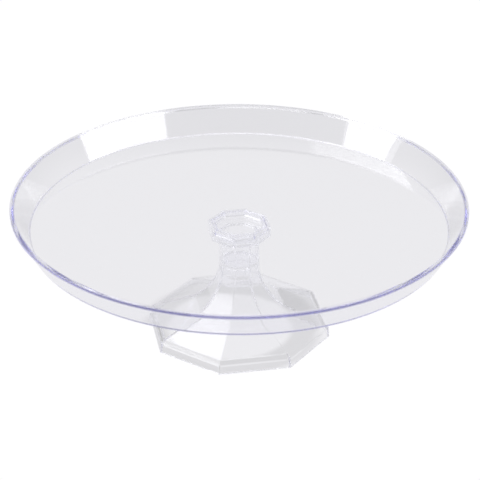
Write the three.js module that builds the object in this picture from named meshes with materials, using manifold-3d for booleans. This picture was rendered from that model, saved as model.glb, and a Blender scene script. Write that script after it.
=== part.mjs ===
// Two-piece clear plastic cake stand: a round shallow tray on an octagonal pedestal.
//
// Frame: millimetres, +Z up, origin on the table at the centre of the foot.
// Two flats of every pedestal octagon face +X and -X, and two face +Y and -Y.
// Octagon sizes are given as the radius to the corners.
import * as THREE from 'three';
import { mergeVertices } from 'three/addons/utils/BufferGeometryUtils.js';
import Module from 'manifold-3d';

const wasm = await Module();
wasm.setup();

// ---------------------------------------------------------------- dimensions
// tray
const PLATE_R = 175;            // outside radius of the rim
const PLATE_UNDERSIDE_Z = 92.6; // underside of the tray floor
const PLATE_FLOOR = 1.5;        // thickness of the tray floor
const RIM_TOP_Z = 115.0;        // top of the rim
const RIM_WIDTH = 2.7;          // radial width of the rim's flat top
const RIM_HEIGHT = 3.0;         // height of the rim's upright outer face
const FLOOR_R = 160.8;          // radius where the floor meets the flared wall, inside, before rounding
const UNDER_R = 163.2;          // radius where the underside meets the flared wall, before rounding
const WALL_TOP_OUT_R = 173.9;   // outside of the wall under the rim
const FLOOR_FILLET = 0.9;       // rounding between floor and wall, inside
const UNDER_FILLET = 0.9;       // rounding between underside and wall, outside
const PLATE_SEGMENTS = 96;

// eight-sided locating ring under the tray, which drops into the pedestal's cup
const RING_OUT_R = 21.8;
const RING_IN_R = 19.8;
const RING_BOTTOM_Z = 88.6;

// pedestal
const FOOT_R = 73.0;            // foot at the table
const SKIRT_TOP_R = 72.4;       // top of the upright skirt
const SKIRT_TOP_Z = 8.0;
const ROOF_EDGE_R = 68.6;       // outer edge of the sloping roof
const ROOF_EDGE_Z = 10.8;
const BREAK_R = 36.6;           // where the roof meets the concave flare
const BREAK_Z = 23.4;
const NECK_R = 16.0;            // straight neck
const NECK_TOP_R = 15.8;
const CUP_OUT_R = 24.8;         // cup that carries the tray
const CUP_IN_R = 22.4;
const CUP_BOTTOM_Z = 83.4;      // underside of the cup's ledge
const CUP_LEDGE_Z = 85.4;       // ledge inside the cup
const CUP_TOP_Z = 92.3;         // the tray rests here, 0.3 below its underside
const BORE_R = 13.6;            // eight-sided hollow of the neck
const SEPTUM_TOP_Z = 60.1;      // web that closes the neck, top face
const SEPTUM_BOTTOM_Z = 57.8;   // web that closes the neck, under face
const SKIN = 2.3;               // wall of the foot
const GATE_R = 3.0;             // round gate mark under the web
const GATE_DROP = 0.9;
const OCT = 8;
const OCT_START = Math.PI / 8;

// ---------------------------------------------------------------- helpers
// Turns a profile of [radius, height] points about the Z axis into one closed body.
function turned(profile, segments, start = 0) {
  const points = profile.map(([r, z]) => new THREE.Vector2(r, z));
  let g = new THREE.LatheGeometry(points, segments, start, Math.PI * 2);
  g.rotateX(Math.PI / 2);
  g.deleteAttribute('normal');
  g.deleteAttribute('uv');
  g = mergeVertices(g, 1e-3);
  const p = g.getAttribute('position');
  const idx = g.getIndex().array;
  const kept = [];
  let volume = 0;
  const a = new THREE.Vector3(), b = new THREE.Vector3(), c = new THREE.Vector3();
  for (let i = 0; i < idx.length; i += 3) {
    const [i0, i1, i2] = [idx[i], idx[i + 1], idx[i + 2]];
    if (i0 === i1 || i1 === i2 || i0 === i2) continue;
    a.fromBufferAttribute(p, i0); b.fromBufferAttribute(p, i1); c.fromBufferAttribute(p, i2);
    volume += a.dot(b.clone().cross(c)) / 6;
    kept.push(i0, i1, i2);
  }
  if (volume < 0) for (let i = 0; i < kept.length; i += 3) [kept[i + 1], kept[i + 2]] = [kept[i + 2], kept[i + 1]];
  g.setIndex(kept);
  return g;
}

function toSolid(g) {
  return new wasm.Manifold(new wasm.Mesh({
    numProp: 3,
    vertProperties: new Float32Array(g.getAttribute('position').array),
    triVerts: new Uint32Array(g.getIndex().array),
  }));
}

function toGeometry(solid) {
  const m = solid.getMesh();
  const g = new THREE.BufferGeometry();
  g.setAttribute('position', new THREE.BufferAttribute(new Float32Array(m.vertProperties), 3));
  g.setIndex(new THREE.BufferAttribute(new Uint32Array(m.triVerts), 1));
  return g;
}

function piece(name, geometry, colour) {
  const flat = geometry.toNonIndexed();
  flat.computeVertexNormals();
  const mesh = new THREE.Mesh(flat, new THREE.MeshStandardMaterial({
    name: name + '_clear', color: new THREE.Color(...colour), roughness: 0.05, metalness: 0,
    transparent: true, opacity: 0.35, side: THREE.DoubleSide,
  }));
  mesh.name = name;
  return mesh;
}

// ---------------------------------------------------------------- tray
const floorTop = PLATE_UNDERSIDE_Z + PLATE_FLOOR;
const rimBase = RIM_TOP_Z - RIM_HEIGHT;
const rimIn = PLATE_R - RIM_WIDTH;

// Rounds the corner b between a and c with a fillet of the given radius.
function fillet(a, b, c, radius, steps) {
  const A = new THREE.Vector2(...a), B = new THREE.Vector2(...b), C = new THREE.Vector2(...c);
  const u = A.clone().sub(B).normalize(), v = C.clone().sub(B).normalize();
  const half = Math.acos(u.dot(v)) / 2;
  const t = radius / Math.tan(half);
  const p0 = B.clone().addScaledVector(u, t), p1 = B.clone().addScaledVector(v, t);
  const centre = B.clone().addScaledVector(u.clone().add(v).normalize(), radius / Math.sin(half));
  const a0 = Math.atan2(p0.y - centre.y, p0.x - centre.x);
  let da = Math.atan2(p1.y - centre.y, p1.x - centre.x) - a0;
  if (da > Math.PI) da -= 2 * Math.PI;
  if (da < -Math.PI) da += 2 * Math.PI;
  const out = [];
  for (let i = 0; i <= steps; i++) {
    const w = a0 + da * i / steps;
    out.push([centre.x + radius * Math.cos(w), centre.y + radius * Math.sin(w)]);
  }
  return out;
}

const wallOutTop = [WALL_TOP_OUT_R, rimBase - 0.2];
const wallInTop = [rimIn, RIM_TOP_Z];
const trayProfile = [
  [0, PLATE_UNDERSIDE_Z],
  ...fillet([0, PLATE_UNDERSIDE_Z], [UNDER_R, PLATE_UNDERSIDE_Z], wallOutTop, UNDER_FILLET, 3),
  wallOutTop,
  [PLATE_R - 0.5, rimBase + 0.05],
  [PLATE_R, rimBase + 0.7],
  [PLATE_R, RIM_TOP_Z - 1.0],
  [PLATE_R - 0.35, RIM_TOP_Z - 0.3],
  [PLATE_R - 1.0, RIM_TOP_Z],
  [rimIn + 0.4, RIM_TOP_Z],
  [rimIn - 0.1, RIM_TOP_Z - 0.4],
  ...fillet(wallInTop, [FLOOR_R, floorTop], [0, floorTop], FLOOR_FILLET, 3),
  [0, floorTop],
];
const ringProfile = [
  [RING_IN_R, PLATE_UNDERSIDE_Z + 1],
  [RING_IN_R, RING_BOTTOM_Z + 0.3],
  [RING_IN_R + 0.3, RING_BOTTOM_Z],
  [RING_OUT_R - 0.5, RING_BOTTOM_Z],
  [RING_OUT_R, RING_BOTTOM_Z + 0.6],
  [RING_OUT_R, PLATE_UNDERSIDE_Z + 1],
  [RING_IN_R, PLATE_UNDERSIDE_Z + 1],
];
const tray = toSolid(turned(trayProfile, PLATE_SEGMENTS))
  .add(toSolid(turned(ringProfile, OCT, OCT_START)));

// ---------------------------------------------------------------- pedestal
// Concave flare between the neck and the break line, as [corner radius, height].
const flareOut = [
  [BREAK_R, BREAK_Z], [32.9, 26.0], [29.4, 29.0], [26.6, 32.0], [24.2, 35.0],
  [22.1, 38.0], [20.3, 41.0], [18.8, 44.0], [17.6, 47.5], [16.7, 51.5], [16.2, 56.0], [NECK_R, 61.0],
];
const flareIn = [
  [BREAK_R - 1.8, BREAK_Z - SKIN - 0.1], [30.9, 24.2], [27.5, 27.2], [24.6, 30.2], [22.1, 33.3],
  [19.9, 36.5], [18.0, 39.7], [16.3, 43.0], [14.7, 46.6],
];
const pedestalProfile = [
  [0, SEPTUM_TOP_Z],
  [BORE_R - 1.0, SEPTUM_TOP_Z],
  [BORE_R, SEPTUM_TOP_Z + 0.9],
  [BORE_R + 0.1, CUP_LEDGE_Z - 0.5],
  [BORE_R + 0.6, CUP_LEDGE_Z],
  [CUP_IN_R - 0.6, CUP_LEDGE_Z],
  [CUP_IN_R - 0.1, CUP_LEDGE_Z + 0.5],
  [CUP_IN_R, CUP_TOP_Z - 0.4],
  [CUP_IN_R + 0.4, CUP_TOP_Z],
  [CUP_OUT_R - 0.4, CUP_TOP_Z],
  [CUP_OUT_R, CUP_TOP_Z - 0.4],
  [CUP_OUT_R - 0.1, CUP_BOTTOM_Z + 0.5],
  [CUP_OUT_R - 0.7, CUP_BOTTOM_Z],
  [NECK_TOP_R + 1.0, CUP_BOTTOM_Z - 0.2],
  [NECK_TOP_R, CUP_BOTTOM_Z - 1.2],
  ...[...flareOut].reverse(),
  [ROOF_EDGE_R, ROOF_EDGE_Z],
  [SKIRT_TOP_R - 0.9, SKIRT_TOP_Z + 0.9],
  [SKIRT_TOP_R, SKIRT_TOP_Z - 0.4],
  [FOOT_R, 0.5],
  [FOOT_R - 0.4, 0],
  [FOOT_R - SKIN - 0.2, 0],
  [FOOT_R - SKIN - 0.5, 0.4],
  [SKIRT_TOP_R - SKIN - 0.5, SKIRT_TOP_Z - 2.4],
  [ROOF_EDGE_R - 1.6, ROOF_EDGE_Z - SKIN],
  ...flareIn,
  [BORE_R + 0.1, 50.0],
  [BORE_R, SEPTUM_BOTTOM_Z - 0.8],
  [BORE_R - 0.8, SEPTUM_BOTTOM_Z],
  [0, SEPTUM_BOTTOM_Z],
];
const gateProfile = [
  [0, SEPTUM_BOTTOM_Z + 1], [GATE_R, SEPTUM_BOTTOM_Z + 1],
  [GATE_R, SEPTUM_BOTTOM_Z - GATE_DROP + 0.3], [GATE_R - 0.4, SEPTUM_BOTTOM_Z - GATE_DROP],
  [0, SEPTUM_BOTTOM_Z - GATE_DROP],
];
const pedestalSolid = toSolid(turned(pedestalProfile, OCT, OCT_START))
  .add(toSolid(turned(gateProfile, 24)));

// ---------------------------------------------------------------- assembly
const cakeStand = new THREE.Group();
cakeStand.add(piece('plate', toGeometry(tray), [0.90, 0.90, 0.95]));
cakeStand.add(piece('pedestal', toGeometry(pedestalSolid), [0.90, 0.91, 0.93]));

export default cakeStand;
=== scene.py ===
import math

import bpy
from mathutils import Matrix, Quaternion, Vector


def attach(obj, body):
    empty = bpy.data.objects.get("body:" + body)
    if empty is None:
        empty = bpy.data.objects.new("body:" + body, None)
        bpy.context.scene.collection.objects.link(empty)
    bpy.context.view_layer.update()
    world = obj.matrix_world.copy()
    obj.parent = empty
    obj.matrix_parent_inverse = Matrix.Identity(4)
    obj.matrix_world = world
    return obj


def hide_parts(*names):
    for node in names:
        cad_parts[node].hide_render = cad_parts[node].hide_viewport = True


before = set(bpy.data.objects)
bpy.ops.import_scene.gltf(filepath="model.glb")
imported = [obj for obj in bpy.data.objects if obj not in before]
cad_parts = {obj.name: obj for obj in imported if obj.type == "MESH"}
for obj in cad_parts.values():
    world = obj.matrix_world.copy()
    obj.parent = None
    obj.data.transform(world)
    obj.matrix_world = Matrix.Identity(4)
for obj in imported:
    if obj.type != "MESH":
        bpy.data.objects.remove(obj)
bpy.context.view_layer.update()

scene = bpy.context.scene
MM = 0.001
COS = math.cos(math.pi / 8)
CORNER = math.pi / 8          # first corner of every octagon

# ------------------------------------------------------------------ profiles


def arc_fillet(a, b, c, radius, step=math.radians(9)):
    """Points of the arc that rounds corner b of the path a, b, c."""
    u = Vector((a[0] - b[0], a[1] - b[1]))
    v = Vector((c[0] - b[0], c[1] - b[1]))
    lu, lv = u.length, v.length
    u /= lu
    v /= lv
    turn = math.acos(max(-1.0, min(1.0, u.dot(v))))
    reach = radius / math.tan(turn / 2)
    limit = 0.48 * min(lu, lv)
    if reach > limit:
        radius *= limit / reach
        reach = limit
    bis = (u + v).normalized()
    centre = Vector(b[:2]) + bis * (radius / math.sin(turn / 2))
    p = Vector(b[:2]) + u * reach - centre
    q = Vector(b[:2]) + v * reach - centre
    sweep = math.pi - turn
    n = max(2, math.ceil(sweep / step))
    sign = 1 if p.x * q.y - p.y * q.x > 0 else -1
    out = []
    for i in range(n + 1):
        t = sign * sweep * i / n
        out.append((centre.x + p.x * math.cos(t) - p.y * math.sin(t),
                    centre.y + p.x * math.sin(t) + p.y * math.cos(t)))
    return out


def rounded(path):
    """path holds (r, z, fillet radius, kind). Returns (r, z, kind) with the corners rounded."""
    out = []
    for i, (r, z, f, kind) in enumerate(path):
        if f and 0 < i < len(path) - 1:
            out += [(*p, kind) for p in arc_fillet(path[i - 1], path[i], path[i + 1], f)]
        else:
            out.append((r, z, kind))
    return out


def smooth_curve(points, per_span):
    """A curve through the points, with per_span pieces in each span."""
    out = []
    n = len(points)
    for i in range(n - 1):
        p0, p1, p2, p3 = (Vector(points[max(0, min(n - 1, j))]) for j in (i - 1, i, i + 1, i + 2))
        if i == 0:
            p0 = p1 * 2 - p2
        if i == n - 2:
            p3 = p2 * 2 - p1
        t0 = 0.0
        t1 = t0 + (p1 - p0).length ** 0.5
        t2 = t1 + (p2 - p1).length ** 0.5
        t3 = t2 + (p3 - p2).length ** 0.5
        for k in range(per_span):
            t = t1 + (t2 - t1) * k / per_span
            a1 = p0 * ((t1 - t) / (t1 - t0)) + p1 * ((t - t0) / (t1 - t0))
            a2 = p1 * ((t2 - t) / (t2 - t1)) + p2 * ((t - t1) / (t2 - t1))
            a3 = p2 * ((t3 - t) / (t3 - t2)) + p3 * ((t - t2) / (t3 - t2))
            b1 = a1 * ((t2 - t) / (t2 - t0)) + a2 * ((t - t0) / (t2 - t0))
            b2 = a2 * ((t3 - t) / (t3 - t1)) + a3 * ((t - t1) / (t3 - t1))
            c = b1 * ((t2 - t) / (t2 - t1)) + b2 * ((t - t1) / (t2 - t1))
            out.append((c.x, c.y))
    out.append(tuple(points[-1]))
    return out


# ------------------------------------------------------------------ rings

def ring_places(kind, arcs, sides):
    """For each point round a ring: its direction, and what an octagon does there.
    Returns a list of (outward direction angle, corner angle, side share)."""
    places = []
    for o in range(8):
        corner = CORNER + o * math.pi / 4
        for k in range(arcs // 2 + 1):
            places.append((corner + (k / (arcs / 2)) * CORNER, corner, 0.0))
        for k in range(1, sides):
            places.append((corner + CORNER, corner, k / sides))
        for k in range(arcs // 2):
            places.append((corner + CORNER + (k / (arcs / 2)) * CORNER, corner + math.pi / 4, 0.0))
    return places


def ring_points(kind, a, z, ta, tz, arcs, sides, rounding):
    """The points and normals of one ring. a is a circle's radius, or an octagon's distance from centre to side."""
    places = ring_places(kind, arcs, sides)
    count = len(places)
    points, normals = [], []
    for i, (phi, corner, share) in enumerate(places):
        if kind == "round":
            theta = CORNER + 2 * math.pi * i / count
            e = (math.cos(theta), math.sin(theta))
            points.append((a * e[0] * MM, a * e[1] * MM, z * MM))
            n = Vector((tz * e[0], tz * e[1], -ta))
        else:
            rc = min(rounding, 0.45 * a)
            far = (a - rc) / COS
            e = (math.cos(phi), math.sin(phi))
            x = far * math.cos(corner) + rc * e[0]
            y = far * math.sin(corner) + rc * e[1]
            if share:
                nxt = corner + math.pi / 4
                x2 = far * math.cos(nxt) + rc * e[0]
                y2 = far * math.sin(nxt) + rc * e[1]
                x += (x2 - x) * share
                y += (y2 - y) * share
            points.append((x * MM, y * MM, z * MM))
            k = 1.0 if share else math.cos(phi - corner) / COS
            n = Vector((tz * e[0], tz * e[1], -ta * k))
        normals.append(n.normalized() if n.length > 1e-9 else Vector((0, 0, -1)))
    return points, normals


def loft(name, path, arcs, sides, rounding):
    """A closed solid turned from path, [(a, z, kind)], which starts and ends on the axis with the solid on its left."""
    cleaned = [path[0]]
    for p in path[1:]:
        q = cleaned[-1]
        if math.hypot(p[0] - q[0], p[1] - q[1]) > 1e-4 or p[2] != q[2]:
            cleaned.append(p)
    path = cleaned
    verts, normals, starts = [], [], []
    count = len(ring_places("round", arcs, sides))
    for j, (a, z, kind) in enumerate(path):
        tangent = Vector((0, 0))
        if j > 0:
            tangent += Vector((a - path[j - 1][0], z - path[j - 1][1]))
        if j < len(path) - 1:
            tangent += Vector((path[j + 1][0] - a, path[j + 1][1] - z))
        if tangent.length:
            tangent.normalize()
        starts.append(len(verts))
        if a < 1e-6:
            verts.append((0, 0, z * MM))
            normals.append(Vector((0, 0, -1 if j == 0 else 1)))
        else:
            p, n = ring_points(kind, a, z, tangent.x, tangent.y, arcs, sides, rounding)
            verts += p
            normals += n
    faces = []
    for j in range(len(path) - 1):
        s, t = starts[j], starts[j + 1]
        for i in range(count):
            k = (i + 1) % count
            if path[j][0] < 1e-6:
                faces.append((s, t + k, t + i))
            elif path[j + 1][0] < 1e-6:
                faces.append((s + i, s + k, t))
            else:
                faces.append((s + i, s + k, t + k, t + i))
    mesh = bpy.data.meshes.new(name)
    mesh.from_pydata(verts, [], faces)
    mesh.validate()
    mesh.shade_smooth()
    mesh.normals_split_custom_set_from_vertices([tuple(n) for n in normals])
    mesh.update()
    piece = bpy.data.objects.new(name, mesh)
    scene.collection.objects.link(piece)
    return piece


# ------------------------------------------------------------------ tray

R, O = "round", "octagon"


def oct(r, z, f=0.0):
    """An octagon's corner radius, as the CAD has it, turned into its distance from centre to side."""
    return (r * COS, z, f, O)


tray_path = rounded([
    (0, 92.6, 0, R),
    oct(19.8, 92.6, 0.3),
    oct(19.8, 88.6, 0.25),
    oct(21.8, 88.6, 0.45),
    oct(21.8, 92.6, 0.3),
    (32.0, 92.6, 0, R),
    (90.0, 92.6, 0, R),
    (162.93, 92.6, 0.9, R),
    (173.9, 112.0, 0.3, R),
    (175.0, 112.1, 0.4, R),
    (175.0, 115.0, 0.6, R),
    (172.3, 115.0, 0.4, R),
    (160.8, 94.1, 0.9, R),
    (90.0, 94.1, 0, R),
    (32.0, 94.1, 0, R),
    (0, 94.1, 0, R),
])
tray = loft("tray_moulding", tray_path, arcs=8, sides=40, rounding=0.6)
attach(tray, "plate")
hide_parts("plate")

# ------------------------------------------------------------------ pedestal

flare_in = smooth_curve([(13.7, 50.0), (14.7, 46.6), (16.3, 43.0), (18.0, 39.7), (19.9, 36.5), (22.1, 33.3),
                         (24.6, 30.2), (27.5, 27.2), (30.9, 24.2), (34.8, 21.0)], 4)
flare_out = smooth_curve([(36.6, 23.4), (32.9, 26.0), (29.4, 29.0), (26.6, 32.0), (24.2, 35.0), (22.1, 38.0),
                          (20.3, 41.0), (18.8, 44.0), (17.6, 47.5), (16.7, 51.5), (16.2, 56.0), (16.0, 61.0)], 4)
pedestal_path = rounded(
    [
        (0, 56.9, 0, R),
        (3.0, 56.9, 0.3, R),
        (3.0, 57.8, 0.2, R),
        oct(13.65, 57.8, 0.7),
    ]
    + [oct(r, z) for r, z in flare_in]
    + [
        oct(67.0, 8.5, 0.6),
        oct(69.6, 5.6, 0.6),
        oct(70.3, 0.0, 0.3),
        oct(73.0, 0.0, 0.35),
        oct(72.4, 8.0, 0.5),
        oct(71.3, 9.05, 0.5),
        oct(68.6, 10.8, 0.5),
    ]
    + [oct(r, z) for r, z in flare_out]
    + [
        oct(15.8, 83.3, 0.8),
        oct(24.7, 83.4, 0.5),
        oct(24.8, 92.3, 0.45),
        oct(22.4, 92.3, 0.4),
        oct(22.3, 85.4, 0.5),
        oct(13.7, 85.4, 0.5),
        oct(13.6, 60.1, 0.9),
        (0, 60.1, 0, R),
    ]
)
pedestal = loft("pedestal_moulding", pedestal_path, arcs=8, sides=4, rounding=0.7)
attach(pedestal, "pedestal")
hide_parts("pedestal")

# ------------------------------------------------------------------ materials


def clear_plastic(name, absorb, density, wave, wave_scale):
    """Clear moulded polystyrene: a faint tint that shows along long paths, and slow waves in the surface."""
    m = bpy.data.materials.new(name)
    m.use_nodes = True
    nt = m.node_tree
    nt.nodes.clear()
    out = nt.nodes.new("ShaderNodeOutputMaterial")
    bsdf = nt.nodes.new("ShaderNodeBsdfPrincipled")
    bsdf.inputs["Base Color"].default_value = (0.985, 0.985, 1.0, 1)
    bsdf.inputs["Transmission Weight"].default_value = 1.0
    bsdf.inputs["IOR"].default_value = 1.59
    nt.links.new(bsdf.outputs[0], out.inputs["Surface"])

    coords = nt.nodes.new("ShaderNodeTexCoord")
    slow = nt.nodes.new("ShaderNodeTexNoise")
    slow.inputs["Scale"].default_value = wave_scale
    slow.inputs["Detail"].default_value = 1.5
    nt.links.new(coords.outputs["Object"], slow.inputs["Vector"])
    bump = nt.nodes.new("ShaderNodeBump")
    bump.inputs["Strength"].default_value = wave
    bump.inputs["Distance"].default_value = 0.0006
    nt.links.new(slow.outputs["Fac"], bump.inputs["Height"])
    nt.links.new(bump.outputs["Normal"], bsdf.inputs["Normal"])

    gloss = nt.nodes.new("ShaderNodeTexNoise")
    gloss.inputs["Scale"].default_value = 90
    gloss.inputs["Detail"].default_value = 3
    nt.links.new(coords.outputs["Object"], gloss.inputs["Vector"])
    spread = nt.nodes.new("ShaderNodeMapRange")
    spread.inputs["From Min"].default_value = 0.3
    spread.inputs["From Max"].default_value = 0.75
    spread.inputs["To Min"].default_value = 0.015
    spread.inputs["To Max"].default_value = 0.04
    nt.links.new(gloss.outputs["Fac"], spread.inputs["Value"])
    nt.links.new(spread.outputs["Result"], bsdf.inputs["Roughness"])

    vol = nt.nodes.new("ShaderNodeVolumeAbsorption")
    vol.inputs["Color"].default_value = (*absorb, 1)
    vol.inputs["Density"].default_value = density
    nt.links.new(vol.outputs[0], out.inputs["Volume"])
    return m


tray.data.materials.append(clear_plastic("clear_tray", (0.65, 0.64, 0.86), 9.5, 0.25, 9.0))
pedestal.data.materials.append(clear_plastic("clear_pedestal", (0.67, 0.66, 0.83), 1.8, 0.25, 24.0))

# ------------------------------------------------------------------ floor, world, light

TURN = math.radians(-10.835)    # how far the camera stands round from the front
CAMERA_ANGLE = -math.pi / 2 + TURN


def toward(right, up):
    """The direction at right degrees to the right of the camera, seen from the object, and up degrees above the floor."""
    a = CAMERA_ANGLE + math.radians(right)
    e = math.radians(up)
    return Vector((math.cos(a) * math.cos(e), math.sin(a) * math.cos(e), math.sin(e)))


FLOOR_R = 60.0
floor_mesh = bpy.data.meshes.new("floor")
steps = 64
floor_mesh.from_pydata([(FLOOR_R * math.cos(2 * math.pi * i / steps), FLOOR_R * math.sin(2 * math.pi * i / steps), -0.0006)
                        for i in range(steps)], [], [tuple(range(steps))])
floor = bpy.data.objects.new("floor", floor_mesh)
scene.collection.objects.link(floor)
fm = bpy.data.materials.new("white_floor")
fm.use_nodes = True
fm.node_tree.nodes.clear()
fo = fm.node_tree.nodes.new("ShaderNodeOutputMaterial")
fe = fm.node_tree.nodes.new("ShaderNodeEmission")
fe.inputs["Color"].default_value = (0.989, 0.984, 1.0, 1)
fe.inputs["Strength"].default_value = 1.0
fm.node_tree.links.new(fe.outputs[0], fo.inputs["Surface"])
floor_mesh.materials.append(fm)


def hide_from_camera(tree, seen, other):
    """Strength that is seen where the camera looks straight at it, and other where it lights or shows in the plastic."""
    path = tree.nodes.new("ShaderNodeLightPath")
    mix = tree.nodes.new("ShaderNodeMix")
    mix.data_type = "FLOAT"
    mix.inputs["B"].default_value = seen
    if isinstance(other, float):
        mix.inputs["A"].default_value = other
    else:
        tree.links.new(other, mix.inputs["A"])
    tree.links.new(path.outputs["Is Camera Ray"], mix.inputs["Factor"])
    return mix.outputs["Result"]


def painted_floor_shade(tree, plain, drop, far_drop):
    """Painted shade in the table's glow: a little darker in a band just inside the foot's edge, standing in for the
    shadow of the skirt, and darker far from the object.
    """
    place = tree.nodes.new("ShaderNodeTexCoord")
    # The painted shadow's centre is moved about 7 mm to one side, as a cast shadow would fall.
    shift = tree.nodes.new("ShaderNodeVectorMath")
    shift.operation = "ADD"
    shift.inputs[1].default_value = (0.0069, -0.0013, 0)
    tree.links.new(place.outputs["Object"], shift.inputs[0])
    flat = tree.nodes.new("ShaderNodeVectorMath")
    flat.operation = "LENGTH"
    tree.links.new(shift.outputs[0], flat.inputs[0])
    steps = []
    for lo, hi in ((0.046, 0.053), (0.075, 0.066), (0.30, 0.37)):
        step = tree.nodes.new("ShaderNodeMapRange")
        step.interpolation_type = "SMOOTHSTEP"
        step.inputs["From Min"].default_value = lo
        step.inputs["From Max"].default_value = hi
        tree.links.new(flat.outputs["Value"], step.inputs["Value"])
        steps.append(step.outputs["Result"])
    # Painted shadow: a ring about 46 to 75 mm from that centre, just inside the foot's edge.
    band = tree.nodes.new("ShaderNodeMath")
    band.operation = "MULTIPLY"
    tree.links.new(steps[0], band.inputs[0])
    tree.links.new(steps[1], band.inputs[1])
    level = plain
    for source, amount in ((steps[2], far_drop), (band.outputs[0], drop)):
        out = tree.nodes.new("ShaderNodeMath")
        out.operation = "MULTIPLY_ADD"
        tree.links.new(source, out.inputs[0])
        out.inputs[1].default_value = -amount
        if isinstance(level, float):
            out.inputs[2].default_value = level
        else:
            tree.links.new(level, out.inputs[2])
        level = out.outputs[0]
    return level


# The table glows white where the camera looks straight at it. Where it shows in the plastic, it carries the painted
# shadow under the foot and is darker far out.
fm.node_tree.links.new(hide_from_camera(fm.node_tree, 1.03, painted_floor_shade(fm.node_tree, 0.885, 0.16, 0.06)), fe.inputs["Strength"])

# The room: white below, darker behind the camera, brighter behind the object.
world = bpy.data.worlds.new("studio")
scene.world = world
world.use_nodes = True
wt = world.node_tree
wt.nodes.clear()
wo = wt.nodes.new("ShaderNodeOutputWorld")
wb = wt.nodes.new("ShaderNodeBackground")
wb.inputs["Color"].default_value = (1, 1, 1, 1)
wc = wt.nodes.new("ShaderNodeTexCoord")
ws = wt.nodes.new("ShaderNodeSeparateXYZ")
wt.links.new(wc.outputs["Generated"], ws.inputs[0])


def calc(op, *args):
    n = wt.nodes.new("ShaderNodeMath")
    n.operation = op
    for i, v in enumerate(args):
        if isinstance(v, (int, float)):
            n.inputs[i].default_value = v
        else:
            wt.links.new(v, n.inputs[i])
    return n.outputs[0]


def ramp(value, lo, hi):
    n = wt.nodes.new("ShaderNodeMapRange")
    n.interpolation_type = "SMOOTHSTEP"
    n.inputs["From Min"].default_value = lo
    n.inputs["From Max"].default_value = hi
    wt.links.new(value, n.inputs["Value"])
    return n.outputs["Result"]


# how far a direction leans toward the camera's side: 1 toward it, -1 away from it
lean = calc("ADD", calc("MULTIPLY", ws.outputs["X"], math.cos(CAMERA_ANGLE)),
            calc("MULTIPLY", ws.outputs["Y"], math.sin(CAMERA_ANGLE)))


def level(side, slope, bend):
    return calc("MULTIPLY_ADD", calc("MULTIPLY_ADD", lean, bend, slope), lean, side)


low = level(0.68, 0.12, -0.32)
high = level(0.64, -0.232, -0.128)
share = ramp(ws.outputs["Z"], math.sin(math.radians(13)), math.sin(math.radians(24)))
room = calc("ADD", calc("MULTIPLY", low, calc("SUBTRACT", 1.0, share)), calc("MULTIPLY", high, share))
wt.links.new(hide_from_camera(wt, 1.0, room), wb.inputs["Strength"])
wt.links.new(wb.outputs[0], wo.inputs["Surface"])


def softbox(name, right, up, wide, tall, radiance, roll=0.0, distance=5.0):
    """A soft light seen from the object as wide by tall degrees."""
    light = bpy.data.lights.new(name, "AREA")
    light.shape = "RECTANGLE"
    light.size = 2 * distance * math.tan(math.radians(wide / 2))
    light.size_y = 2 * distance * math.tan(math.radians(tall / 2))
    light.energy = radiance * math.pi * light.size * light.size_y
    o = bpy.data.objects.new(name, light)
    d = toward(right, up)
    o.location = d * distance
    o.rotation_mode = "QUATERNION"
    o.rotation_quaternion = (-d).to_track_quat("-Z", "Y") @ Quaternion((0, 0, 1), math.radians(roll))
    o.visible_camera = False
    scene.collection.objects.link(o)
    return o


softbox("softbox_right", 69.5, 34, 44, 30, 3.2)
softbox("softbox_left", -80, 37, 34, 36, 3.2, roll=-16)
softbox("softbox_top", -147, 62, 44, 30, 1.9)

# ------------------------------------------------------------------ camera

cam = bpy.data.cameras.new("camera")
cam.sensor_width = 36
cam.sensor_fit = "HORIZONTAL"
FOCAL_PX, FAR = 1741.10, 1.35211
cam.lens = FOCAL_PX * 36 / 480
cam.shift_x = -(241.20 - 240) / 480
cam.shift_y = (238.67 - 240) / 480
cam.clip_start, cam.clip_end = 0.01, 200
camera = bpy.data.objects.new("camera", cam)
scene.collection.objects.link(camera)
elev, roll = 0.5005, 0.0055
look = Vector((0, math.cos(elev), -math.sin(elev)))
right = Vector((1, 0, 0))
up = right.cross(look)
right, up = right * math.cos(roll) + up * math.sin(roll), up * math.cos(roll) - right * math.sin(roll)
target = Vector((0.00157, 0, 0.0795))
place = Matrix((
    (right.x, up.x, -look.x, 0),
    (right.y, up.y, -look.y, 0),
    (right.z, up.z, -look.z, 0),
    (0, 0, 0, 1),
))
place.translation = target - look * FAR
camera.matrix_world = Matrix.Rotation(TURN, 4, "Z") @ place
scene.camera = camera

scene.view_settings.view_transform = "Standard"
scene.view_settings.look = "None"
scene.view_settings.exposure = 0
scene.view_settings.gamma = 1
scene.cycles.max_bounces = 256
scene.cycles.transmission_bounces = 256
scene.cycles.glossy_bounces = 256
scene.cycles.transparent_max_bounces = 16
scene.cycles.sample_clamp_indirect = 1.8
scene.cycles.filter_width = 2.1
scene.cycles.caustics_reflective = True
scene.cycles.caustics_refractive = True
